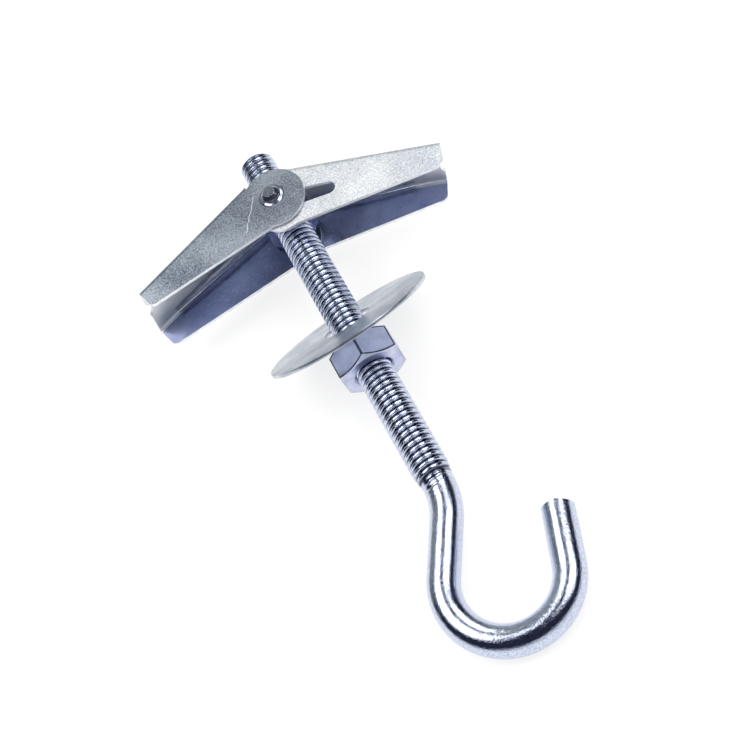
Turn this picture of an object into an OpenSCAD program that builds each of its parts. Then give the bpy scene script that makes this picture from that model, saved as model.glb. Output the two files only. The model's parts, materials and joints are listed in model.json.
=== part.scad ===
// Spring toggle bolt with a round hook, lying as it comes to rest on a table.
// Millimetres, +Z up. The toggle end points along +Y, the hook end along -Y.
// The origin is on the table, under the middle of the whole outline.
// Every piece is drawn along the bolt: Z runs to the toggle end and the wing hinge is at the origin.
// lying() then lays the fixing down on the washer rim and the hook bowl.

/* [Rod and hook] */
// Crest diameter of the rolled thread
thread_dia = 5.9; // [5.6:0.1:6.2]
// Diameter of the drawn wire the thread is rolled on
wire_dia = 5.05; // [4.6:0.05:5.4]
// Rod end beyond the wing hinge
rod_above = 12.2; // [9:0.2:16]
// Thread end below the wing hinge
thread_below = 55.2; // [48:0.5:70]
// Chamfer at the free end of the rod
rod_chamfer = 0.6; // [0.3:0.1:0.9]
// Cone where the thread runs out into the plain wire
runout = 0.5; // [0.4:0.1:1.5]
// Bend radius of the S-bend, on the wire centre
shoulder_radius = 11.5; // [9:0.5:18]
// Angle the wire is thrown sideways by the S-bend
shoulder_angle = 31; // [24:1:38]
// Straight wire between the S-bend and the bowl
link_length = 8.7; // [5:0.1:11]
// Radius of the hook bowl, on the wire centre
bowl_radius = 9.15; // [7.5:0.05:11.5]
// Outward lean of the hook leg
leg_lean = 19; // [6:1:24]
// Hook leg from the bowl to the ridge of its cut end
leg_length = 9; // [5:0.5:14]
// Fall from the ridge of the cut end to its sides
cut_fall = 0.45; // [0.3:0.05:1.4]

/* [Nut] */
// Width of the nut across its flats
nut_flats = 10; // [9.6:0.1:11]
// Height of the nut
nut_height = 5; // [4:0.1:6.5]
// Gap between the nut and the underside of the tilted washer
nut_gap = 0.15; // [0.1:0.05:0.6]
// Chamfer angle of the nut corners
nut_chamfer_angle = 30; // [20:1:35]
// Chamfered face inside the flats
nut_face_inset = 0.2; // [0.1:0.05:0.4]
// Radial room in the threads of nut and trunnion
thread_room = 0.05; // [0.03:0.01:0.08]
// Countersink at both mouths of the nut
countersink = 0.45; // [0.3:0.05:0.7]

/* [Washer] */
// Outside diameter of the washer
washer_dia = 28.8; // [26:0.2:34]
// Thickness of the washer
washer_thick = 0.6; // [0.5:0.05:0.8]
// Tilt of the washer on the rod
washer_tilt = 40; // [34:1:42]
// Sideways roll of the tilted washer; less than zero lifts its right side towards the toggle
washer_roll = -2.5; // [-4:0.5:4]
// Room left beside the rod where the tilted washer catches it
washer_room = 0.05; // [0.03:0.01:0.08]
// Where the washer crosses the rod, below the wing hinge
washer_below = 24.3; // [23:0.1:27]

/* [Wings] */
// Sheet thickness of the wings
sheet = 0.65; // [0.55:0.05:0.7]
// Half width over the two outer ears
ears_half = 6.32; // [6.32:0.02:6.8]
// Running gap between an outer ear and the inner ear behind it
ear_gap = 0.1; // [0.08:0.01:0.12]
// Length of the outer flange from the hinge to the tip
outer_length = 26.1; // [22:0.1:27]
// Extra length of the inner flange at the slanted tip
tip_slant = 1.8; // [0.8:0.1:2]
// Height of the web top above the hinge
web_height = 5.6; // [5.4:0.05:5.7]
// Height of the outer flange at the tip
outer_tip_height = 4.4; // [3.8:0.1:4.8]
// Height of the inner flange at the tip
inner_tip_height = 5.1; // [4.5:0.1:5.4]
// Taper of the lower flange edge
taper = 14.5; // [12:0.5:16]
// Radius of the rounded lower corner at the tip
tip_corner = 1.4; // [0.8:0.1:1.8]
// Inside radius of the two folds
fold_inside = 0.55; // [0.4:0.05:0.7]
// Radius of the outer ear
outer_ear_radius = 5.25; // [4.9:0.05:5.5]
// Drop of the outer ear centre under the hinge
outer_ear_drop = 0.4; // [0.2:0.05:0.6]
// Radius of the lower lobe of the inner ear, inside the sweep of the other wing's web
inner_ear_radius = 4.65; // [4.4:0.05:4.7]
// Centre of that lobe under the hinge, and as far beyond it towards the tip
inner_ear_drop = 1.5; // [1.3:0.05:1.5]
// Least radius of an ear round the hinge
ear_hub = 3.4; // [3.2:0.05:3.5]
// Where the web starts beyond the hinge; this edge meets the rod when the wing is full open
web_start = 1.9; // [1.9:0.05:2.4]
// Where the straight lower edge of a flange starts beyond the hinge
flange_heel = 1.4; // [1:0.1:2]
// Near end of the window in the inner flange of the right wing
window_start = 5.1; // [4.9:0.1:5.6]
// Far end of the window
window_end = 10.5; // [9:0.1:12]
// Height of the window at its near end
window_near = 2.9; // [2.6:0.1:3.1]
// Height of the window at its far end
window_far = 2.3; // [1.8:0.1:2.6]
// Rise of the window from its near end to its far end
window_rise = 0.6; // [0.3:0.1:0.9]
// Depth of the shallow notch in the tip edge of the web
notch_depth = 0.7; // [0.4:0.05:1]
// Width of the notch
notch_width = 3.3; // [2.4:0.1:4.5]
// Centre of the notch from the middle of the bolt, towards the outer flange
notch_offset = 1.5; // [0:0.1:2.5]
// Droop of the left wing under square
left_droop = 16.5; // [16.5:0.1:19]
// Droop of the right wing under square
right_droop = 26.5; // [24:0.1:28]

/* [Trunnion] */
// Diameter of the barrel that holds the bolt, clear of the web edges by 0.3 mm
barrel_dia = 9.2; // [8:0.1:9.6]
// Barrel end on the plain side, from the bolt
barrel_plain_side = 4.8; // [4.6:0.02:4.82]
// Barrel end on the spring side, from the bolt
barrel_spring_side = 3.4; // [3.35:0.01:3.42]
// Diameter of the journals
journal_dia = 4.15; // [3.9:0.05:4.2]
// Radial running gap of the journals in the ear holes
journal_room = 0.07; // [0.05:0.01:0.09]
// Length of the stepped end standing proud of the ears
stub_length = 1.45; // [1.2:0.05:2]
// Diameter of the step
stub_dia = 3.1; // [2.7:0.1:3.4]
// Diameter of the small end face
stub_tip_dia = 1.9; // [1.5:0.1:2.2]

/* [Spring] */
// Wire of the torsion spring
spring_wire = 0.7; // [0.6:0.02:0.7]
// Rise of the spring in one turn
spring_pitch = 0.74; // [0.72:0.01:0.75]
// Gap between the spring and the journal it sits on
spring_room = 0.15; // [0.1:0.05:0.25]
// Reach of the leg under the left web
left_leg_reach = 23.4; // [18:0.2:23.4]
// Reach of the leg under the right web
right_leg_reach = 20.9; // [18:0.1:23]
// Gap between a leg end and the web it pushes
leg_gap = 0.08; // [0.05:0.01:0.15]

/* [Hidden] */
$fn = 64;
// helper lengths longer than any piece is wide
wide = 60;
// straight wire runs a little way into each bend, which is drawn a hair thinner
wire_lap = 0.1;
bend_thinning = 0.02;
// small edge break on turned parts
edge_break = 0.15;
barrel_break = 0.3;
stub_cone = 0.6;
// heights along the bolt
bend_z = -(thread_below + runout);
washer_z = -washer_below;
// nut
thread_hole_dia = thread_dia + 2 * thread_room;
nut_corner = nut_flats / 2 / cos(30);
nut_face = nut_flats / 2 - nut_face_inset;
nut_rim = nut_corner + 0.5;
nut_rim_drop = (nut_rim - nut_face) * tan(nut_chamfer_angle);
nut_corner_drop = (nut_corner - nut_face) * tan(nut_chamfer_angle);
washer_under = washer_thick / 2 / cos(washer_tilt);
nut_reach = max(nut_face * tan(washer_tilt), nut_corner * tan(washer_tilt) - nut_corner_drop);
nut_top = washer_z - washer_under - nut_gap - nut_reach;
// the tilted washer catches the rod on two opposite edges of its hole
washer_across = thread_dia + 2 * washer_room + washer_thick * sin(washer_tilt);
washer_hole_dia = washer_across / cos(washer_tilt);
// wings
inner_face = ears_half - sheet - ear_gap;
hole_dia = journal_dia + 2 * journal_room;
web_inside = web_height - sheet;
fold_outside = fold_inside + sheet;
fold_start = web_height - fold_outside;
outer_tip_bottom = web_height - outer_tip_height;
inner_tip_bottom = web_height - inner_tip_height;
inner_length = outer_length + tip_slant;
slant_slope = tip_slant / (inner_face + ears_half);
slant_trim = slant_slope * fold_outside;
window_far_radius = window_far / 2;
window_middle = window_end - window_far_radius;
// spring
coil_radius = journal_dia / 2 + spring_room + spring_wire / 2;
coil_rise = spring_pitch / 2;
coil_tilt = atan(coil_rise / (2 * coil_radius));
coil_arc_radius = coil_radius / cos(coil_tilt);
first_turn_y = barrel_spring_side + 0.05 + spring_wire / 2;
last_turn_y = first_turn_y + spring_pitch;
leg_height = web_inside - leg_gap - spring_wire / 2;
spring_thinning = 0.01;
spring_lap = 1;
function leg_span(reach) = sqrt(pow(leg_height, 2) + pow(reach, 2));
function leg_rise(reach) = acos(coil_radius / leg_span(reach)) - atan(reach / leg_height);
left_leg_lean = left_droop - leg_rise(left_leg_reach);
right_leg_lean = right_droop - leg_rise(right_leg_reach);
// hook
bend_dia = wire_dia - bend_thinning;
bowl_turn = 180 + shoulder_angle - leg_lean;
shoulder_x = -shoulder_radius * (1 - cos(shoulder_angle));
shoulder_z = bend_z - shoulder_radius * sin(shoulder_angle);
link_x = shoulder_x - link_length * sin(shoulder_angle);
link_z = shoulder_z - link_length * cos(shoulder_angle);
bowl_x = link_x + bowl_radius * cos(shoulder_angle);
bowl_z = link_z - bowl_radius * sin(shoulder_angle);
foot_x = bowl_x + bowl_radius * cos(leg_lean);
foot_z = bowl_z - bowl_radius * sin(leg_lean);
bowl_bottom = bowl_z - bowl_radius;
// at rest the washer rim and the hook bowl both touch the table
rest_span = washer_z - bowl_bottom;
function rim_slope(lean) = sin(washer_tilt) * cos(lean)
    + cos(washer_tilt) * cos(washer_roll) * sin(lean);
function rim_reach(lean) = washer_dia / 2 * sqrt(1 - pow(rim_slope(lean), 2))
    + washer_thick / 2 * rim_slope(lean);
function rest_lean(lean) = asin((rim_reach(lean) - wire_dia / 2) / rest_span);
lean_guess = rest_lean(rest_lean(rest_lean(8)));
lean = rest_lean(rest_lean(rest_lean(lean_guess)));
lift = wire_dia / 2 - bowl_bottom * sin(lean);
// middle of the whole outline, seen from above
function tip_side(droop) = inner_length * cos(droop) + fold_start * sin(droop)
    + fold_outside * (sqrt(pow(sin(droop), 2) + pow(slant_slope * cos(droop), 2)) - slant_slope * cos(droop));
middle_x = (tip_side(right_droop) - tip_side(left_droop)) / 2;
rod_end_y = rod_above * cos(lean) + (thread_dia / 2 - rod_chamfer) * sin(lean);
hook_end_y = bowl_bottom * cos(lean) - wire_dia / 2;
middle_y = (rod_end_y + hook_end_y) / 2;

// lays the bolt down on the table, centred over the origin
module lying() {
    translate([-middle_x, -middle_y, lift])
        rotate([lean - 90, 0, 0])
            children();
}

// arc of round wire in the XZ plane, counted from +X towards +Z
module wire_arc(x, z, radius, from, sweep, dia) {
    translate([x, 0, z])
        rotate([90, 0, 0])
            rotate([0, 0, from])
                rotate_extrude(angle = sweep)
                    translate([radius, 0])
                        circle(d = dia);
}

// straight round wire in the XZ plane, leaning from +Z towards +X, lapped into the bends at both ends
module wire_straight(x, z, tilt, length, dia) {
    translate([x, 0, z])
        rotate([0, tilt, 0])
            translate([0, 0, -wire_lap])
                cylinder(h = length + 2 * wire_lap, d = dia);
}

// one length of wire: rolled thread, S-bend, hook bowl and leg
module hook_bolt() {
    color([0.78, 0.79, 0.83])
        lying()
            union() {
                rod_outline();
                wire_arc(-shoulder_radius, bend_z, shoulder_radius, -shoulder_angle, shoulder_angle, bend_dia);
                wire_straight(link_x, link_z, shoulder_angle, link_length, wire_dia);
                wire_arc(bowl_x, bowl_z, bowl_radius, 180 - shoulder_angle, bowl_turn, bend_dia);
                hook_leg();
            }
}

// threaded length with its chamfered end and its run-out
module rod_outline() {
    crest = thread_dia / 2;
    rotate_extrude()
        polygon([[0, bend_z - wire_lap], [wire_dia / 2, bend_z - wire_lap], [wire_dia / 2, bend_z],
                 [crest, -thread_below], [crest, rod_above - rod_chamfer], [crest - rod_chamfer, rod_above],
                 [0, rod_above]]);
}

// hook leg, its end left as a low gable by the cutters
module hook_leg() {
    half = wire_dia / 2;
    difference() {
        wire_straight(foot_x, foot_z, leg_lean, leg_length, wire_dia);
        translate([foot_x, 0, foot_z])
            rotate([0, leg_lean, 0])
                translate([0, 0, leg_length])
                    rotate([90, 0, 0])
                        linear_extrude(height = wide, center = true)
                            polygon([[0, 0], [2 * half, -2 * cut_fall], [2 * half, half], [-2 * half, half],
                                     [-2 * half, -2 * cut_fall]]);
    }
}

// hexagon nut, chamfered and countersunk at both ends
module hex_nut() {
    bore = thread_hole_dia / 2;
    mouth = bore + countersink;
    color([0.66, 0.68, 0.78])
        lying()
            translate([0, 0, nut_top - nut_height])
                difference() {
                    intersection() {
                        rotate([0, 0, 30])
                            cylinder(h = nut_height, r = nut_corner, $fn = 6);
                        rotate_extrude()
                            polygon([[0, 0], [nut_face, 0], [nut_rim, nut_rim_drop],
                                     [nut_rim, nut_height - nut_rim_drop], [nut_face, nut_height],
                                     [0, nut_height]]);
                    }
                    rotate_extrude()
                        polygon([[0, -1], [mouth, -1], [mouth, 0], [bore, countersink],
                                 [bore, nut_height - countersink], [mouth, nut_height],
                                 [mouth, nut_height + 1], [0, nut_height + 1]]);
                }
}

// large thin washer, caught tilted on the thread
module washer() {
    color([0.74, 0.77, 0.77])
        lying()
            translate([0, 0, washer_z])
                rotate([washer_tilt, washer_roll, 0])
                    difference() {
                        cylinder(h = washer_thick, d = washer_dia, center = true, $fn = 96);
                        cylinder(h = 2 * washer_thick, d = washer_hole_dia, center = true);
                    }
}

// turned barrel with the tapped cross hole, journals and stepped ends
module trunnion() {
    color([0.7, 0.72, 0.76])
        lying()
            difference() {
                rotate([-90, 0, 0])
                    rotate_extrude()
                        polygon(concat(turned_down(turned_end(barrel_plain_side)),
                                       turned_end(barrel_spring_side)));
                cylinder(h = 2 * barrel_dia, d = thread_hole_dia, center = true);
            }
}

// outline of the trunnion from its barrel to one end
function turned_end(barrel_end) = [
    [barrel_dia / 2, barrel_end - barrel_break],
    [barrel_dia / 2 - barrel_break, barrel_end],
    [journal_dia / 2, barrel_end],
    [journal_dia / 2, ears_half - edge_break],
    [journal_dia / 2 - edge_break, ears_half + edge_break],
    [stub_dia / 2, ears_half + 2 * edge_break],
    [stub_dia / 2, ears_half + stub_length - stub_cone],
    [stub_tip_dia / 2, ears_half + stub_length],
    [0, ears_half + stub_length]
];

// the same outline turned to the other end
function turned_down(points) = [for (i = [len(points) - 1:-1:0]) [points[i][0], -points[i][1]]];

// half a turn of spring, climbing half a pitch; its high end points at the given angle
module half_turn(angle, y, dia, lap) {
    translate([0, y + coil_rise / 2, 0])
        rotate([0, -angle, 0])
            rotate([0, 0, coil_tilt])
                rotate([90, 0, 0])
                    rotate([0, 0, -lap])
                        rotate_extrude(angle = 180 + 2 * lap)
                            translate([coil_arc_radius, 0])
                                circle(d = dia);
}

// spring leg from the coil out under a web
module spring_leg(tilt, reach) {
    length = sqrt(pow(leg_span(reach), 2) - pow(coil_radius, 2));
    rotate([0, tilt, 0])
        translate([-wire_lap, 0, coil_radius])
            rotate([0, 90, 0])
                cylinder(h = length + wire_lap, d = spring_wire);
}

// torsion spring on one journal: a left leg, a little over one turn and a right leg
module spring() {
    thin = spring_wire - spring_thinning;
    color([0.6, 0.62, 0.66])
        lying()
            union() {
                translate([0, first_turn_y, 0])
                    mirror([1, 0, 0])
                        spring_leg(left_leg_lean, left_leg_reach);
                half_turn(left_leg_lean - 90, first_turn_y, thin, 0);
                half_turn(left_leg_lean + 90, first_turn_y + coil_rise, spring_wire, spring_lap);
                translate([0, last_turn_y, 0])
                    wire_arc(0, 0, coil_radius, 90 - right_leg_lean, left_leg_lean + right_leg_lean, thin);
                translate([0, last_turn_y, 0])
                    spring_leg(right_leg_lean, right_leg_reach);
            }
}

// slab of a flat outline drawn in X and Z, between two Y faces
module slab(from, to) {
    translate([0, to, 0])
        rotate([90, 0, 0])
            linear_extrude(height = to - from)
                children();
}

// side outline of a flange, tip towards +X and web up
module flange_outline(length, tip_bottom) {
    corner = length - tip_corner;
    heel_bottom = tip_bottom - (corner - flange_heel) * tan(taper);
    polygon([[flange_heel, 0], [flange_heel, heel_bottom], [corner, tip_bottom],
             [length, tip_bottom + tip_corner], [length, web_height], [web_start, web_height]]);
    translate([corner, tip_bottom + tip_corner])
        circle(r = tip_corner);
}

// flat ear round the hinge with a wider lobe below it, clear of the fold beyond the web edge
module ear_outline(radius, drop, shift, length, tip_bottom) {
    difference() {
        union() {
            circle(r = ear_hub);
            translate([shift, -drop])
                circle(r = radius);
            intersection() {
                flange_outline(length, tip_bottom);
                translate([0, -wide / 2])
                    square([2 * web_start, wide]);
            }
        }
        translate([web_start, fold_start])
            square(wide);
    }
}

// top of a channel section with two rounded corners, drawn in Y and Z
module channel_top(left, right, top, radius) {
    translate([-left, -wide])
        square([left + right, wide + top - radius]);
    translate([radius - left, 0])
        square([left + right - 2 * radius, top]);
    translate([radius - left, top - radius])
        circle(r = radius);
    translate([right - radius, top - radius])
        circle(r = radius);
}

// folded channel, open below, running out along +X from the web edge
module channel() {
    translate([web_start, 0, 0])
        rotate([90, 0, 90])
            linear_extrude(height = inner_length)
                difference() {
                    channel_top(inner_face, ears_half, web_height, fold_outside);
                    channel_top(inner_face - sheet, ears_half - sheet, web_inside, fold_inside);
                }
}

// everything beyond the slanted tip edge, and its notch
module tip_waste() {
    notch_radius = (pow(notch_width / 2, 2) + pow(notch_depth, 2)) / (2 * notch_depth);
    notch_x = outer_length + slant_slope * (ears_half - notch_offset);
    linear_extrude(height = wide, center = true)
        polygon([[outer_length, ears_half], [outer_length - slant_slope, ears_half + 1],
                 [wide, ears_half + 1], [wide, -inner_face - 1], [inner_length + slant_slope, -inner_face - 1],
                 [inner_length, -inner_face]]);
    translate([notch_x - notch_depth + notch_radius, notch_offset, 0])
        cylinder(h = wide, r = notch_radius, center = true);
}

// slot in the inner flange, round at its far end
module window() {
    polygon([[window_start, -(window_near + window_rise) / 2],
             [window_middle, window_rise / 2 - window_far_radius],
             [window_middle, window_rise / 2 + window_far_radius],
             [window_start, (window_near - window_rise) / 2]]);
    translate([window_middle, window_rise / 2])
        circle(r = window_far_radius);
}

// one stamping: inner flange towards -Y, outer flange towards +Y, tip towards +X
module wing(slotted) {
    difference() {
        union() {
            intersection() {
                channel();
                union() {
                    slab(-inner_face - 1, fold_outside - inner_face)
                        flange_outline(inner_length, inner_tip_bottom);
                    slab(ears_half - fold_outside, ears_half + 1)
                        flange_outline(outer_length + slant_trim, outer_tip_bottom);
                    slab(fold_outside - inner_face, ears_half - fold_outside)
                        translate([web_start, 0])
                            square([wide, wide]);
                }
            }
            slab(-inner_face, sheet - inner_face)
                ear_outline(inner_ear_radius, inner_ear_drop, inner_ear_drop, inner_length,
                            inner_tip_bottom);
            slab(ears_half - sheet, ears_half)
                ear_outline(outer_ear_radius, outer_ear_drop, 0, outer_length + slant_trim,
                            outer_tip_bottom);
        }
        tip_waste();
        slab(-wide, wide)
            circle(d = hole_dia);
        if (slotted)
            slab(-inner_face - 1, 1 - inner_face)
                window();
    }
}

module wing_left() {
    color([0.62, 0.64, 0.7])
        lying()
            rotate([0, 0, 180])
                rotate([0, left_droop, 0])
                    wing(false);
}

module wing_right() {
    color([0.72, 0.73, 0.78])
        lying()
            rotate([0, right_droop, 0])
                wing(true);
}

hook_bolt();
hex_nut();
washer();
trunnion();
spring();
wing_left();
wing_right();
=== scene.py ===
import json
import math

import bpy
from mathutils import Matrix, Vector

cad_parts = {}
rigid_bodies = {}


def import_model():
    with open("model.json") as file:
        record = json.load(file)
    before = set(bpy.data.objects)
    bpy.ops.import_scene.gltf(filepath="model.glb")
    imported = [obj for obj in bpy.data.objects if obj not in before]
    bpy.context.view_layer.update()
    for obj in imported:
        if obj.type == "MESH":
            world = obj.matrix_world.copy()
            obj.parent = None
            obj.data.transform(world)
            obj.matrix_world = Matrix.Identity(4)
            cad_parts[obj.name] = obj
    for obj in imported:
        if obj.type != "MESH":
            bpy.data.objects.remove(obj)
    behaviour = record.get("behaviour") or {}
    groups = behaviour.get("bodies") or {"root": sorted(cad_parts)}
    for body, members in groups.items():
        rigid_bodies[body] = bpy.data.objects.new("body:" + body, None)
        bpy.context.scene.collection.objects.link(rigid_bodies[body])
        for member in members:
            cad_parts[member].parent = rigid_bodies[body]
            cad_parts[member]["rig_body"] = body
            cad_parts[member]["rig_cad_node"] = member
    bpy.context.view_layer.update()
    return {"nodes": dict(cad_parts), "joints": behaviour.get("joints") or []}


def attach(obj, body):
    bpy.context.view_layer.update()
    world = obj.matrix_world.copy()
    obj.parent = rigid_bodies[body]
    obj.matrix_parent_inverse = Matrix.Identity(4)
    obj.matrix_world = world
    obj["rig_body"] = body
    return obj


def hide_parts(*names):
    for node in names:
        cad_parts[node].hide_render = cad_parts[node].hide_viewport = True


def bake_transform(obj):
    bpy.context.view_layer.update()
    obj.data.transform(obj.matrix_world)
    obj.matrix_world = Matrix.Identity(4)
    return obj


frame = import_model()
nodes = frame["nodes"]

# ---------------------------------------------------------------- threaded hook
# One length of drawn mild steel wire. The upper part carries a rolled right-hand M6 thread, the lower
# part is bent into the shoulder and the bowl of the hook and sheared off. Then it is bright zinc plated.

MM = 0.001
TINY = 0.001 * MM
NEAR = 0.01 * MM

# the thread; its groove takes up GROOVE_SHARE of the pitch, and a power under 1 widens its root
CREST_RADIUS = 2.93 * MM
GROOVE_DEPTH = 0.50 * MM
GROOVE_SHARE = 0.74
GROOVE_POWER = 0.9
PITCH = 1.0 * MM
ROD_TOP = 12.19 * MM
ROD_CHAMFER = 0.6 * MM

# the run-out: the crests sink to the wire just above the bend, and the groove ends beyond it on one side
CREST_FADE = 2.2 * MM
CREST_FADE_END = 0.15 * MM
GROOVE_FADE = 1.2 * MM
GROOVE_RUN_ON = 1.1 * MM
GROOVE_RUN_SWING = 1.5 * MM
RUNOUT_SIDE = math.radians(200)
RUNOUT_DEPTH = 0.25
THREAD_IN_BEND = 3.2 * MM

# the bent wire
WIRE_RADIUS = 2.512 * MM
BEND_Z = -55.7 * MM
SHOULDER_RADIUS = 11.5 * MM
SHOULDER_ANGLE = math.radians(31)
LINK_LENGTH = 8.7 * MM
BOWL_RADIUS = 9.15 * MM
LEG_LEAN = math.radians(19)
LEG_LENGTH = 9.0 * MM
LEG_TO_CUT = 0.2 * MM
CUT_FALL = 0.45 * MM
CUT_HALF_WIDTH = 2.525 * MM

WIRE_SIDES = 48
ROWS_PER_PITCH = 14
SHOULDER_ROWS = 12
LINK_ROWS = 8
BOWL_ROWS = 64
LEG_ROWS = 9
SMOOTH_UNDER = math.radians(40)


def along_bolt():
    """The turn and place that lay the bolt on the table, from its own hinge and slide."""
    joints = {j["name"]: j for j in frame["joints"]}
    up = Vector(joints["toggle_travel"]["axis"]).normalized()
    back = Vector(joints["right_fold"]["axis"]).normalized()
    right = back.cross(up)
    turn = Matrix((right, back, up)).transposed().to_4x4()
    return Matrix.Translation(joints["right_fold"]["pos_m"]) @ turn


BOLT = along_bolt()
BOLT_WAY = BOLT.to_3x3() @ Vector((0, 0, 1))


def alone(obj):
    """Deselects everything and makes this object the only one worked on."""
    if bpy.context.object and bpy.context.object.mode != "OBJECT":
        bpy.ops.object.mode_set(mode="OBJECT")
    bpy.ops.object.select_all(action="DESELECT")
    bpy.context.view_layer.objects.active = obj
    obj.select_set(True)


def edit(obj, kind="VERT"):
    """Opens a piece in edit mode with nothing selected."""
    alone(obj)
    bpy.ops.object.mode_set(mode="EDIT")
    bpy.ops.mesh.select_mode(type=kind)
    bpy.ops.mesh.select_all(action="DESELECT")


def object_mode():
    bpy.ops.object.mode_set(mode="OBJECT")


def select_where(obj, kind, test):
    """Opens a piece in edit mode with what passes the test selected: faces by centre, normal and area,
    edges by middle and way, or vertices by place and normal."""
    edit(obj, kind)
    object_mode()
    mesh = obj.data
    if kind == "FACE":
        for f in mesh.polygons:
            f.select = test(f.center, f.normal, f.area)
    elif kind == "EDGE":
        for e in mesh.edges:
            a, b = (mesh.vertices[i].co for i in e.vertices)
            e.select = test((a + b) / 2, a - b)
    else:
        for v in mesh.vertices:
            v.select = test(v.co, v.normal)
    bpy.ops.object.mode_set(mode="EDIT")


def outward(obj):
    """Merges doubles and turns every face outwards."""
    edit(obj)
    bpy.ops.mesh.select_all(action="SELECT")
    bpy.ops.mesh.remove_doubles(threshold=TINY)
    bpy.ops.mesh.normals_make_consistent(inside=False)
    object_mode()


def rows_of_wire(name, sides, radius, low, high, rows):
    """A plain cylinder up the Z axis from low to high, cut into rows for bending."""
    bpy.ops.mesh.primitive_cylinder_add(vertices=sides, radius=radius, depth=high - low,
                                        location=(0, 0, (high + low) / 2))
    wire = bpy.context.object
    wire.name = name
    alone(wire)
    bpy.ops.object.transform_apply(location=True, rotation=False, scale=False)
    select_where(wire, "EDGE", lambda middle, way: abs(way.z) > (high - low) / 2)
    bpy.ops.mesh.subdivide_edgering(number_cuts=rows)
    object_mode()
    return wire


def laid_down(obj):
    """Closes a piece drawn along the bolt, and takes it to its place on the table, with the place in its
    mesh."""
    outward(obj)
    alone(obj)
    bpy.ops.object.transform_apply(location=True, rotation=True, scale=True)
    obj.data.transform(BOLT)
    bpy.ops.object.shade_smooth_by_angle(angle=SMOOTH_UNDER)


def groove(t):
    """Depth of the rolled groove, 0 to 1, at a share t of the pitch from the crest."""
    d = abs(t - 0.5) * 2
    return 0.5 + 0.5 * math.cos(math.pi * min(1, d / GROOVE_SHARE) ** GROOVE_POWER)


def thread_radius(z, angle):
    """Radius of the rod at a height and angle: the groove, its run-out at the bend and the top's chamfer."""
    cut = GROOVE_DEPTH * groove((z / PITCH - angle / (2 * math.pi)) % 1)
    crest_fade = min(1, max(0, (z - BEND_Z - CREST_FADE_END) / CREST_FADE))
    groove_end = BEND_Z - (GROOVE_RUN_ON + GROOVE_RUN_SWING * math.cos(angle - RUNOUT_SIDE))
    groove_fade = min(1, max(0, (z - groove_end) / GROOVE_FADE))
    crest = WIRE_RADIUS + (CREST_RADIUS - WIRE_RADIUS) * crest_fade
    threaded = crest - cut * (RUNOUT_DEPTH + (1 - RUNOUT_DEPTH) * crest_fade) * groove_fade
    return min(threaded, CREST_RADIUS - ROD_CHAMFER + (ROD_TOP - z))


# the threaded length and the start of the bend, as a plain cylinder cut into rows
thread_end = BEND_Z - THREAD_IN_BEND
rod_length = ROD_TOP - thread_end
hook = rows_of_wire("threaded_hook", WIRE_SIDES, CREST_RADIUS, thread_end, ROD_TOP,
                    int(rod_length / PITCH * ROWS_PER_PITCH))

# each point is moved to the depth of the groove there
for v in hook.data.vertices:
    x, y, z = v.co
    angle = math.atan2(y, x)
    radius = thread_radius(z, angle)
    v.co.x = radius * math.cos(angle)
    v.co.y = radius * math.sin(angle)

# the rows below the bend line are laid round the S-bend
for v in hook.data.vertices:
    turned = (BEND_Z - v.co.z) / SHOULDER_RADIUS
    if turned > 0:
        reach = v.co.x + SHOULDER_RADIUS
        v.co.x = reach * math.cos(turned) - SHOULDER_RADIUS
        v.co.z = BEND_Z - reach * math.sin(turned)

# the lower face is drawn round the rest of the S-bend, along the link and round the bowl, and up the leg
turned = THREAD_IN_BEND / SHOULDER_RADIUS
end_way = Vector((-math.sin(turned), 0, -math.cos(turned)))
end_place = Vector((-SHOULDER_RADIUS * (1 - math.cos(turned)), 0,
                    BEND_Z - SHOULDER_RADIUS * math.sin(turned)))
select_where(hook, "FACE", lambda centre, normal, area: normal.dot(end_way) > 0.999
             and abs((centre - end_place).dot(end_way)) < NEAR)
bpy.ops.mesh.delete(type="FACE")
select_where(hook, "EDGE", lambda middle, way: abs((middle - end_place).dot(end_way)) < NEAR)
bpy.ops.mesh.spin(steps=SHOULDER_ROWS, angle=-(SHOULDER_ANGLE - turned), center=(-SHOULDER_RADIUS, 0, BEND_Z),
                  axis=(0, 1, 0), use_auto_merge=False)
link = Vector((-math.sin(SHOULDER_ANGLE), 0, -math.cos(SHOULDER_ANGLE)))
for row in range(LINK_ROWS):
    bpy.ops.mesh.extrude_region_move(TRANSFORM_OT_translate={"value": link * LINK_LENGTH / LINK_ROWS})
shoulder = Vector((-SHOULDER_RADIUS * (1 - math.cos(SHOULDER_ANGLE)), 0,
                   BEND_Z - SHOULDER_RADIUS * math.sin(SHOULDER_ANGLE)))
link_end = shoulder + link * LINK_LENGTH
bowl = link_end + Vector((math.cos(SHOULDER_ANGLE), 0, -math.sin(SHOULDER_ANGLE))) * BOWL_RADIUS
bpy.ops.mesh.spin(steps=BOWL_ROWS, angle=math.pi + SHOULDER_ANGLE - LEG_LEAN, center=bowl, axis=(0, 1, 0),
                  use_auto_merge=False)
leg = Vector((math.sin(LEG_LEAN), 0, math.cos(LEG_LEAN)))
leg_row = leg * (LEG_LENGTH + LEG_TO_CUT) / LEG_ROWS
for row in range(LEG_ROWS):
    bpy.ops.mesh.extrude_region_move(TRANSFORM_OT_translate={"value": leg_row})
bpy.ops.mesh.edge_face_add()
object_mode()

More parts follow.
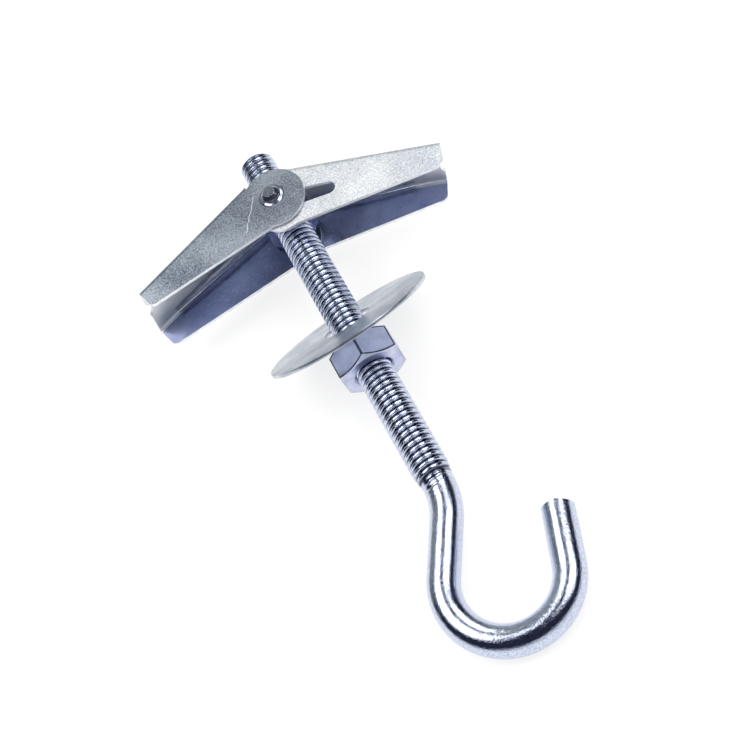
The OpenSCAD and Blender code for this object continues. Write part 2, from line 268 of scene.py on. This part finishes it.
# the shears leave a low gable on the leg's end
across = Vector((math.cos(LEG_LEAN), 0, -math.sin(LEG_LEAN)))
foot = bowl + across * BOWL_RADIUS
ridge = foot + leg * LEG_LENGTH
for side in (-1, 1):
    slope = (leg * CUT_HALF_WIDTH + across * side * CUT_FALL).normalized()
    select_where(hook, "VERT", lambda co, normal: -1 * MM < (co - foot).dot(leg) < LEG_LENGTH + 1 * MM
                 and abs((co - foot).dot(across)) < 4 * MM)
    bpy.ops.mesh.bisect(plane_co=ridge, plane_no=slope, clear_outer=True, use_fill=True, threshold=1e-7)
    object_mode()
laid_down(hook)


def linear(hex_colour):
    """An sRGB hex colour as linear RGBA."""
    parts = [int(hex_colour[i:i + 2], 16) / 255 for i in (1, 3, 5)]
    return [c / 12.92 if c <= 0.04045 else ((c + 0.055) / 1.055) ** 2.4 for c in parts] + [1]


def add(tree, kind, settings=None, links=None):
    """Adds a node, with its properties, its input values by name or place, and its links in."""
    node = tree.nodes.new(kind)
    for key, value in (settings or {}).items():
        if isinstance(key, str) and hasattr(node, key):
            setattr(node, key, value)
        else:
            node.inputs[key].default_value = value
    for key, source in (links or {}).items():
        tree.links.new(source, node.inputs[key])
    return node


def new_material(name):
    """A metal with its Principled shader wired to the output."""
    material = bpy.data.materials.new(name)
    material.use_nodes = True
    tree = material.node_tree
    tree.nodes.clear()
    shader = add(tree, "ShaderNodeBsdfPrincipled", {"Metallic": 1})
    add(tree, "ShaderNodeOutputMaterial", {}, {0: shader.outputs[0]})
    return material, tree, shader


def finish_of(tree, shader, colour, roughness, normal):
    """Wires a metal's colour, roughness and bumped normal to its shader."""
    for name, source in (("Base Color", colour), ("Roughness", roughness), ("Normal", normal)):
        tree.links.new(source, shader.inputs[name])


def bolt_place(tree):
    """The place on the piece along the bolt's own axes, with the wing hinge as origin."""
    back = BOLT.inverted()
    mapping = add(tree, "ShaderNodeMapping", {"Location": back.translation, "Rotation": back.to_euler()},
                  {"Vector": add(tree, "ShaderNodeTexCoord").outputs["Object"]})
    return mapping.outputs[0]


def paint(obj, *materials):
    """Gives a piece its materials. The first is put on every face."""
    obj.data.materials.clear()
    for material in materials:
        obj.data.materials.append(material)
    for face in obj.data.polygons:
        face.material_index = 0


def repaint(obj, index, test):
    """Puts another of a piece's materials where its faces' centre, normal and area, along the bolt, pass."""
    back = BOLT.inverted()
    for face in obj.data.polygons:
        if test(back @ face.center, back.to_3x3() @ face.normal, face.area):
            face.material_index = index


# Bright zinc plate on drawn wire: smooth and mirror-like, faintly blue from the passivation. A soft
# unevenness of some millimetres makes the long reflections waver, and fine specks break their edges.
# The root of the thread is painted duller and darker: painted shade deep in the groove.
bright_zinc, tree, shader = new_material("bright_zinc_on_wire")
place = add(tree, "ShaderNodeTexCoord").outputs["Object"]
waves = add(tree, "ShaderNodeTexNoise", {"Scale": 420, "Detail": 3, "Roughness": 0.55}, {"Vector": place})
specks = add(tree, "ShaderNodeTexNoise", {"Scale": 3400, "Detail": 3, "Roughness": 0.6}, {"Vector": place})
along = bolt_place(tree)
flat = add(tree, "ShaderNodeVectorMath", {"operation": "MULTIPLY", 1: (1, 1, 0)}, {0: along})
reach = add(tree, "ShaderNodeVectorMath", {"operation": "LENGTH"}, {0: flat.outputs[0]})
# painted shade: the colour darkens towards the root of the thread's groove, on the threaded part only
root = add(tree, "ShaderNodeMapRange",
           {"From Min": CREST_RADIUS - 0.16 * MM, "From Max": CREST_RADIUS - 0.42 * MM},
           {"Value": reach.outputs["Value"]})
height = add(tree, "ShaderNodeSeparateXYZ", {}, {0: along}).outputs["Z"]
threaded = add(tree, "ShaderNodeMath", {"operation": "GREATER_THAN", 1: BEND_Z + 0.4 * MM}, {0: height})
painted_groove_shade = add(tree, "ShaderNodeMath", {"operation": "MULTIPLY"}, {0: root.outputs[0], 1: threaded.outputs[0]})
worn = add(tree, "ShaderNodeMapRange", {"From Min": 0.38, "From Max": 0.58}, {"Value": specks.outputs["Fac"]})
tone = add(tree, "ShaderNodeMix", {"data_type": "RGBA", 6: linear("#b4bbd0"), 7: linear("#cfd6e8")},
           {0: worn.outputs[0]})
groove_shaded_tone = add(tree, "ShaderNodeMix", {"data_type": "RGBA", 7: linear("#484c60")},
           {0: painted_groove_shade.outputs[0], 6: tone.outputs[2]})
rough = add(tree, "ShaderNodeMapRange", {"From Min": 0.3, "From Max": 0.7, "To Min": 0.07, "To Max": 0.14},
            {"Value": specks.outputs["Fac"]})
waver = add(tree, "ShaderNodeBump", {"Strength": 0.45, "Distance": 0.05 * MM},
            {"Height": waves.outputs["Fac"]})
speckle = add(tree, "ShaderNodeBump", {"Strength": 1.0, "Distance": 0.042 * MM},
              {"Height": specks.outputs["Fac"], "Normal": waver.outputs[0]})
finish_of(tree, shader, groove_shaded_tone.outputs[2], rough.outputs[0], speckle.outputs[0])

# The cut end of the wire: bare steel torn by the shears, grey with bright streaks, rough and dull.
sheared_end, tree, shader = new_material("sheared_end_of_wire")
place = add(tree, "ShaderNodeTexCoord").outputs["Object"]
tear = add(tree, "ShaderNodeTexNoise", {"Scale": 1400, "Detail": 4, "Roughness": 0.7}, {"Vector": place})
tone = add(tree, "ShaderNodeMix", {"data_type": "RGBA", 6: linear("#6a7080"), 7: linear("#e6eaf2")},
           {0: tear.outputs["Fac"]})
rough = add(tree, "ShaderNodeMapRange", {"To Min": 0.3, "To Max": 0.5}, {"Value": tear.outputs["Fac"]})
torn = add(tree, "ShaderNodeBump", {"Strength": 1.0, "Distance": 0.08 * MM}, {"Height": tear.outputs["Fac"]})
finish_of(tree, shader, tone.outputs[2], rough.outputs[0], torn.outputs[0])

paint(hook, bright_zinc, sheared_end)
repaint(hook, 1, lambda centre, normal, area: normal.dot(leg) > 0.9 and (centre - ridge).length < 4 * MM)
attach(hook, "bolt")
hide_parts("hook_bolt")

# ---------------------------------------------------------------- nut and washer
# The nut is cold formed and tapped hexagon steel, dull zinc plated. The washer is punched from thin
# strip, and its hole catches the thread so that it stands tilted above the nut.

NUT_EASE = 0.06 * MM
NUT_SHADED_FRAME = 0.2 * MM
NUT_FACE_AREA = 9 * MM * MM
NUT_OUTSIDE = 4.6 * MM
WASHER_EASE = 0.1 * MM
EASE_OVER = math.radians(24)
EASED_SMOOTH_UNDER = math.radians(32)


def eased_copy(node, name, width, body):
    """A copy of a solid with its flat faces made whole and its sharp edges eased by a small round, as
    plating and tumbling leave them."""
    source = nodes[node]
    copy = source.copy()
    copy.data = source.data.copy()
    copy.name = name
    copy.parent = None
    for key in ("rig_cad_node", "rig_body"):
        if key in copy:
            del copy[key]
    bpy.context.scene.collection.objects.link(copy)
    edit(copy)
    bpy.ops.mesh.select_all(action="SELECT")
    bpy.ops.mesh.remove_doubles(threshold=TINY)
    bpy.ops.mesh.dissolve_limited(angle_limit=math.radians(1), use_dissolve_boundaries=False)
    object_mode()
    ease = copy.modifiers.new("ease", "BEVEL")
    ease.width = width
    ease.segments = 2
    ease.limit_method = "ANGLE"
    ease.angle_limit = EASE_OVER
    ease.use_clamp_overlap = True
    bpy.ops.object.modifier_apply(modifier=ease.name)
    bpy.ops.object.shade_smooth_by_angle(angle=EASED_SMOOTH_UNDER)
    flat = copy.modifiers.new("flat", "WEIGHTED_NORMAL")
    flat.keep_sharp = True
    flat.weight = 100
    bpy.ops.object.modifier_apply(modifier=flat.name)
    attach(copy, body)
    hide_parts(node)
    return copy


def zinc(name, low, high, scale, roughness, bump, fine=3000):
    """Zinc plate in two near colours, mottled at a real scale, with its roughness and a fine bump."""
    material, tree, shader = new_material(name)
    place = add(tree, "ShaderNodeTexCoord").outputs["Object"]
    mottle = add(tree, "ShaderNodeTexNoise", {"Scale": scale, "Detail": 4, "Roughness": 0.6},
                 {"Vector": place})
    grain = add(tree, "ShaderNodeTexNoise", {"Scale": fine, "Detail": 3, "Roughness": 0.6}, {"Vector": place})
    slow = add(tree, "ShaderNodeTexNoise", {"Scale": 110, "Detail": 2}, {"Vector": place})
    mixed = add(tree, "ShaderNodeMath", {"operation": "MULTIPLY_ADD", 1: 0.5},
                {0: slow.outputs["Fac"], 2: mottle.outputs["Fac"]})
    even = add(tree, "ShaderNodeMapRange", {"From Min": 0.58, "From Max": 0.92}, {"Value": mixed.outputs[0]})
    tone = add(tree, "ShaderNodeMix", {"data_type": "RGBA", 6: linear(low), 7: linear(high)},
               {0: even.outputs[0]})
    rough = add(tree, "ShaderNodeMapRange",
                {"From Min": 0.3, "From Max": 0.7, "To Min": roughness[0], "To Max": roughness[1]},
                {"Value": grain.outputs["Fac"]})
    relief = add(tree, "ShaderNodeBump", {"Strength": 0.5, "Distance": bump * MM},
                 {"Height": grain.outputs["Fac"]})
    finish_of(tree, shader, tone.outputs[2], rough.outputs[0], relief.outputs[0])
    return material


# The nut's zinc is satin and a little violet. Its side faces are framed by edges painted dark, as painted
# shade along the eased edges, and the turned chamfers catch a paler light.
nut = eased_copy("hex_nut", "nut_body", NUT_EASE, "nut")
select_where(nut, "FACE", lambda centre, normal, area: abs(normal.dot(BOLT_WAY)) < 0.05
             and area > NUT_FACE_AREA)
bpy.ops.mesh.inset(thickness=NUT_SHADED_FRAME, use_individual=True)
object_mode()
paint(nut, zinc("dull_zinc_on_nut", "#bcc2e0", "#d8dcf2", 500, (0.3, 0.42), 0.01),
      zinc("painted_shade_on_nut_edges", "#3c4056", "#6d7289", 900, (0.3, 0.42), 0.01),
      zinc("turned_zinc_on_nut_chamfer", "#a8afc8", "#c6ccde", 500, (0.26, 0.36), 0.01))
# painted shade: the narrow frame round each side face and the eased edges get the dark material
repaint(nut, 1, lambda centre, normal, area: abs(normal.z) < 0.7 and area < NUT_FACE_AREA
        and centre.xy.length > NUT_OUTSIDE)
repaint(nut, 2, lambda centre, normal, area: 0.7 < abs(normal.z) < 0.98 and centre.xy.length > NUT_OUTSIDE)

# The washer's strip is rolled: pale, dull and faintly clouded.
washer = eased_copy("washer", "washer_disc", WASHER_EASE, "washer")
paint(washer, zinc("rolled_zinc_on_washer", "#b2bbc7", "#dbe1e7", 260, (0.3, 0.44), 0.012))

# ---------------------------------------------------------------- trunnion and spring
# The trunnion is turned from bar: a barrel tapped across for the bolt, with a stepped journal at each
# end for the wings. The spring is one length of hard drawn wire wound round a journal.

TRUNNION_EASE = 0.05 * MM

# turned steel under thin plate: smooth and fairly bright, so the stepped end shows rings of light
trunnion = eased_copy("trunnion", "trunnion_turned", TRUNNION_EASE, "toggle")
paint(trunnion, zinc("turned_zinc_on_trunnion", "#a4a9b8", "#c4c8d4", 600, (0.16, 0.28), 0.01))

SPRING_WIRE = 0.35 * MM
COIL_RADIUS = 2.575 * MM
FIRST_TURN_Y = 3.8 * MM
TURN_RISE = 0.74 * MM
SPRING_LEAN = {"left": math.radians(11.770), "right": math.radians(21.214)}
SPRING_REACH = {"left": 23.69 * MM, "right": 21.22 * MM}
BOTH_LEANS = SPRING_LEAN["left"] + SPRING_LEAN["right"]
SPRING_SIDES = 20
SPRING_ROW = 0.3 * MM


def coil_place(side, wound):
    """Centre and outward way of the coil, at an angle wound on from where the leg of that side leaves it."""
    if side == "left":
        turned, y = wound - SPRING_LEAN["left"], FIRST_TURN_Y + TURN_RISE * wound / (2 * math.pi)
    else:
        climbing = max(0, wound - BOTH_LEANS)
        turned, y = SPRING_LEAN["right"] - wound, FIRST_TURN_Y + TURN_RISE * (1 - climbing / (2 * math.pi))
    away = Vector((math.sin(turned), 0, math.cos(turned)))
    return away * COIL_RADIUS + Vector((0, y, 0)), away


# The spring is drawn as two lengths that meet under the journal, one for each leg. Each is a plain cylinder
# cut into rows, which are laid along the leg and then round the coil.
# The wire is hard drawn and bright, with faint marks of the die.
bright_spring = zinc("bright_spring_wire", "#a9adb8", "#cdd1dc", 900, (0.12, 0.22), 0.004)
for side, way, wound_full in (("left", -1, math.pi), ("right", 1, math.pi + BOTH_LEANS)):
    lean = SPRING_LEAN[side]
    leg_way = Vector((way * math.cos(lean), 0, -math.sin(lean)))
    length = SPRING_REACH[side] + wound_full * COIL_RADIUS
    half = rows_of_wire("spring_half_" + side, SPRING_SIDES, SPRING_WIRE, 0, length, int(length / SPRING_ROW))
    for v in half.data.vertices:
        run = v.co.z - SPRING_REACH[side]
        centre, away = coil_place(side, max(0, run / COIL_RADIUS))
        v.co = centre + away * v.co.x + Vector((0, v.co.y, 0)) - leg_way * min(0, run)
    laid_down(half)
    paint(half, bright_spring)
    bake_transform(half)
    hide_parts("spring")

# ---------------------------------------------------------------- wings
# Each wing is blanked and folded from zinc coated strip into a channel with two ears. The outside keeps the
# grain of the coating, the inside is smooth and reflects its own walls, the inside of the web and its fold
# are painted pale as painted light where the fold catches it, and the cut edges are bare and painted near
# white as a painted highlight along the rim.

WING_EASE = 0.2 * MM
DROOP = {"left": math.radians(16.5), "right": math.radians(26.5)}
OUT_WAY = {"left": -1, "right": 1}
FOLD_START = 4.4 * MM
CHANNEL_MIDDLE = 2 * MM
SCRATCH_FROM = Vector((2.04, 0, 2.42)) * MM
SCRATCH_TO = Vector((7.3, 0, -1.69)) * MM
SCRATCH_WIDTH = 0.11 * MM
SCRATCH_WOBBLE = 0.6 * MM
SCRATCHED_SIDE = -5 * MM
COATING = {"left": ("#687080", "#c6ced8"), "right": ("#bcc4ce", "#ffffff")}
GRAIN = {"left": (0.3, 0.42), "right": (0.46, 0.56)}


def wing_ways(side):
    """The ways out to a wing's tip and up from its web, along the bolt."""
    droop = DROOP[side]
    out = Vector((OUT_WAY[side] * math.cos(droop), 0, -math.sin(droop)))
    return out, Vector((OUT_WAY[side] * math.sin(droop), 0, math.cos(droop)))


def sheet_side(side, centre, normal):
    """Tells a wing's outside (0), flange inside (1), cut edges (2) and web inside (3) apart."""
    out, up = wing_ways(side)
    height = centre.dot(up)
    if abs(normal.dot(out)) > 0.5 or (abs(normal.y) < 0.96 and height < FOLD_START - 0.1 * MM):
        return 2
    inwards = Vector((0, -centre.y, 0)) + up * (CHANNEL_MIDDLE - height)
    if normal.dot(inwards) <= 0:
        return 0
    return 3 if height > FOLD_START + 0.05 * MM else 1


def scratch(material, side):
    """A bright scratch across the front ear of a wing, where bare steel shows through the coating."""
    tree = material.node_tree
    out, up = wing_ways(side)
    start = out * SCRATCH_FROM.x + up * SCRATCH_FROM.z
    way = out * (SCRATCH_TO - SCRATCH_FROM).x + up * (SCRATCH_TO - SCRATCH_FROM).z
    half_length = way.length / 2
    way.normalize()
    aside = way.cross(Vector((0, 1, 0)))
    along = bolt_place(tree)
    wobble = add(tree, "ShaderNodeTexNoise", {"Scale": 700, "Detail": 1}, {"Vector": along})
    from_start = add(tree, "ShaderNodeVectorMath", {"operation": "SUBTRACT", 1: start}, {0: along})
    offset = add(tree, "ShaderNodeVectorMath", {"operation": "DOT_PRODUCT", 1: aside},
                 {0: from_start.outputs[0]})
    bent = add(tree, "ShaderNodeMath", {"operation": "MULTIPLY_ADD", 1: SCRATCH_WOBBLE},
               {0: wobble.outputs["Fac"], 2: offset.outputs["Value"]})
    centred = add(tree, "ShaderNodeMath", {"operation": "SUBTRACT", 1: SCRATCH_WOBBLE / 2},
                  {0: bent.outputs[0]})
    gap = add(tree, "ShaderNodeMath", {"operation": "ABSOLUTE"}, {0: centred.outputs[0]})
    line = add(tree, "ShaderNodeMapRange", {"From Min": SCRATCH_WIDTH, "From Max": 0.3 * SCRATCH_WIDTH},
               {"Value": gap.outputs[0]})
    run = add(tree, "ShaderNodeVectorMath", {"operation": "DOT_PRODUCT", 1: way}, {0: from_start.outputs[0]})
    ends = add(tree, "ShaderNodeMath", {"operation": "COMPARE", 1: half_length, 2: half_length},
               {0: run.outputs["Value"]})
    front = add(tree, "ShaderNodeMath", {"operation": "LESS_THAN", 1: SCRATCHED_SIDE},
                {0: add(tree, "ShaderNodeSeparateXYZ", {}, {0: along}).outputs["Y"]})
    held = add(tree, "ShaderNodeMath", {"operation": "MULTIPLY"}, {0: ends.outputs[0], 1: front.outputs[0]})
    mark = add(tree, "ShaderNodeMath", {"operation": "MULTIPLY"}, {0: held.outputs[0], 1: line.outputs[0]})
    shader = next(n for n in tree.nodes if n.type == "BSDF_PRINCIPLED")
    colour = shader.inputs["Base Color"].links[0].from_socket
    bright = add(tree, "ShaderNodeMix", {"data_type": "RGBA", 7: linear("#ffffff")},
                 {0: mark.outputs[0], 6: colour})
    tree.links.new(bright.outputs[2], shader.inputs["Base Color"])


# The left wing's coating is given a greyer colour and a less matt finish than the right one's.
for side in ("left", "right"):
    wing = eased_copy("wing_" + side, "wing_%s_channel" % side, WING_EASE, side + "_wing")
    outside = zinc("grained_zinc_" + side, *COATING[side], 4000, GRAIN[side], 0.02, fine=4200)
    inside = zinc("smooth_blue_zinc_" + side, "#a4acd0", "#c6ceec", 160, (0.26, 0.34), 0.003)
    # the cut edges are bare steel, painted near white as a painted highlight along the eased rim
    bare_edge_and_highlight = zinc("bare_edge_and_painted_highlight_" + side, "#e2e6ee", "#ffffff", 900, (0.5, 0.6), 0.01)
    # painted light: the inside of the web and its fold are painted pale where the fold catches the light
    painted_light_in_web = zinc("painted_light_on_web_inside_" + side, "#dfe8ee", "#ffffff", 300, (0.44, 0.54), 0.004)
    if side == "left":
        scratch(outside, side)
    paint(wing, outside, inside, bare_edge_and_highlight, painted_light_in_web)
    for number in (1, 2, 3):
        repaint(wing, number, lambda centre, normal, area: sheet_side(side, centre, normal) == number)

# ---------------------------------------------------------------- studio
# A white table in a room that is dark above the camera, with three soft lamps round it. The table keeps
# a soft shadow: most of its white is its own glow, which only the camera and metal see.

TABLE_SIZE = 6.0
TABLE_GLOW = 0.72

bpy.ops.mesh.primitive_plane_add(size=TABLE_SIZE, location=(0, 0, 0))
table = bpy.context.object
table.name = "table"
white_table = bpy.data.materials.new("white_table")
white_table.use_nodes = True
tree = white_table.node_tree
tree.nodes.clear()
rays = add(tree, "ShaderNodeLightPath")
seen = add(tree, "ShaderNodeMath", {"operation": "MAXIMUM"},
           {0: rays.outputs["Is Camera Ray"], 1: rays.outputs["Is Glossy Ray"]})
seen_or_through = add(tree, "ShaderNodeMath", {"operation": "MAXIMUM"},
                      {0: seen.outputs[0], 1: rays.outputs["Is Transmission Ray"]})
glow = add(tree, "ShaderNodeEmission", {"Color": linear("#ffffff")}, {"Strength": seen_or_through.outputs[0]})
chalk = add(tree, "ShaderNodeBsdfDiffuse", {"Color": linear("#fafafa")})
both = add(tree, "ShaderNodeMixShader", {"Fac": TABLE_GLOW}, {1: chalk.outputs[0], 2: glow.outputs[0]})
add(tree, "ShaderNodeOutputMaterial", {}, {0: both.outputs[0]})
paint(table, white_table)

CAMERA_PLACE = Vector((13.567, -142.084, 201.367)) * MM
CAMERA_RIGHT = Vector((0.851598, -0.389991, -0.350268))
CAMERA_DOWN = Vector((-0.521257, -0.700673, -0.487183))
CAMERA_AHEAD = Vector((-0.055427, 0.597463, -0.799978))
CAMERA_LENS = 75.24
CAMERA_SENSOR = 36
AIM = Vector((0, 0, 8)) * MM


def seen_at(right_deg, down_deg):
    """The direction from the object that lies so many degrees right of the camera and below it."""
    away = math.radians(math.hypot(right_deg, down_deg))
    side = (CAMERA_RIGHT * right_deg + CAMERA_DOWN * down_deg) / max(1e-6, math.hypot(right_deg, down_deg))
    return -CAMERA_AHEAD * math.cos(away) + side * math.sin(away)


# A white card leans up in front of the hook end and meets the table, and the wall behind the toggle end
# is grey. Only metal sees them: the camera and dull surfaces see plain white.
OPPOSITE_CARD = seen_at(-33, -56)
TOWARDS_WALL = seen_at(-70, -85)
world = bpy.data.worlds.new("room")
bpy.context.scene.world = world
world.use_nodes = True
tree = world.node_tree
tree.nodes.clear()
rays = add(tree, "ShaderNodeLightPath")
way = add(tree, "ShaderNodeTexCoord").outputs["Generated"]
over_card = add(tree, "ShaderNodeVectorMath", {"operation": "DOT_PRODUCT", 1: OPPOSITE_CARD}, {0: way})
to_wall = add(tree, "ShaderNodeVectorMath", {"operation": "DOT_PRODUCT", 1: TOWARDS_WALL}, {0: way})
wall = add(tree, "ShaderNodeMapRange",
           {"From Min": 0.5, "From Max": 0.95, "interpolation_type": "SMOOTHSTEP"},
           {"Value": to_wall.outputs["Value"]})
dark = add(tree, "ShaderNodeMix", {"data_type": "RGBA", 6: linear("#2b2f40"), 7: linear("#a4aca9")},
           {0: wall.outputs[0]})
above = add(tree, "ShaderNodeMapRange",
            {"From Min": -0.24, "From Max": -0.14, "interpolation_type": "SMOOTHSTEP"},
            {"Value": over_card.outputs["Value"]})
walls = add(tree, "ShaderNodeMix", {"data_type": "RGBA", 6: linear("#f2f4fa")},
            {0: above.outputs[0], 7: dark.outputs[2]})
room = add(tree, "ShaderNodeBackground", {"Strength": 1.0}, {"Color": walls.outputs[2]})
white = add(tree, "ShaderNodeBackground", {"Color": linear("#ffffff"), "Strength": 1.0})
plain = add(tree, "ShaderNodeMath", {"operation": "MAXIMUM"},
            {0: rays.outputs["Is Camera Ray"], 1: rays.outputs["Is Diffuse Ray"]})
pick = add(tree, "ShaderNodeMixShader", {}, {0: plain.outputs[0], 1: room.outputs[0], 2: white.outputs[0]})
add(tree, "ShaderNodeOutputWorld", {}, {0: pick.outputs[0]})

LAMP_DISTANCE = 0.5
LAMP_GLOW = 4


def soft_lamp(name, right_deg, down_deg, wide_deg, tall_deg, shape="RECTANGLE", turn_deg=0):
    """A soft box at an angle from the camera, as wide and tall as the object sees it, of even glow."""
    direction = seen_at(right_deg, down_deg)
    bpy.ops.object.light_add(type="AREA", location=AIM + direction * LAMP_DISTANCE)
    lamp = bpy.context.object
    lamp.name = name
    lamp.data.shape = shape
    lamp.data.size = 2 * LAMP_DISTANCE * math.tan(math.radians(wide_deg / 2))
    lamp.data.size_y = 2 * LAMP_DISTANCE * math.tan(math.radians(tall_deg / 2))
    area = lamp.data.size * lamp.data.size_y * (math.pi / 4 if shape == "ELLIPSE" else 1)
    lamp.data.energy = LAMP_GLOW * math.pi * area
    # the tall side of the lamp follows the camera's upright, turned by a little
    upright = (-CAMERA_DOWN + direction * CAMERA_DOWN.dot(direction)).normalized()
    upright.rotate(Matrix.Rotation(math.radians(turn_deg), 3, direction))
    facing = Matrix((upright.cross(direction), upright, direction)).transposed().to_4x4()
    lamp.matrix_world = Matrix.Translation(lamp.location) @ facing


soft_lamp("lamp_left", -48, -21, 30, 37, turn_deg=-5)
soft_lamp("lamp_top", -3, -66, 31, 27, shape="ELLIPSE")
soft_lamp("lamp_right", 15, -33, 33, 21)

bpy.ops.object.camera_add()
camera = bpy.context.object
camera.name = "camera"
camera.data.sensor_width = CAMERA_SENSOR
camera.data.lens = CAMERA_LENS
camera.data.clip_start = 0.01
camera.matrix_world = (Matrix.Translation(CAMERA_PLACE)
                       @ Matrix((CAMERA_RIGHT, -CAMERA_DOWN, -CAMERA_AHEAD)).transposed().to_4x4())
bpy.context.scene.camera = camera
bpy.context.scene.view_settings.view_transform = "Standard"
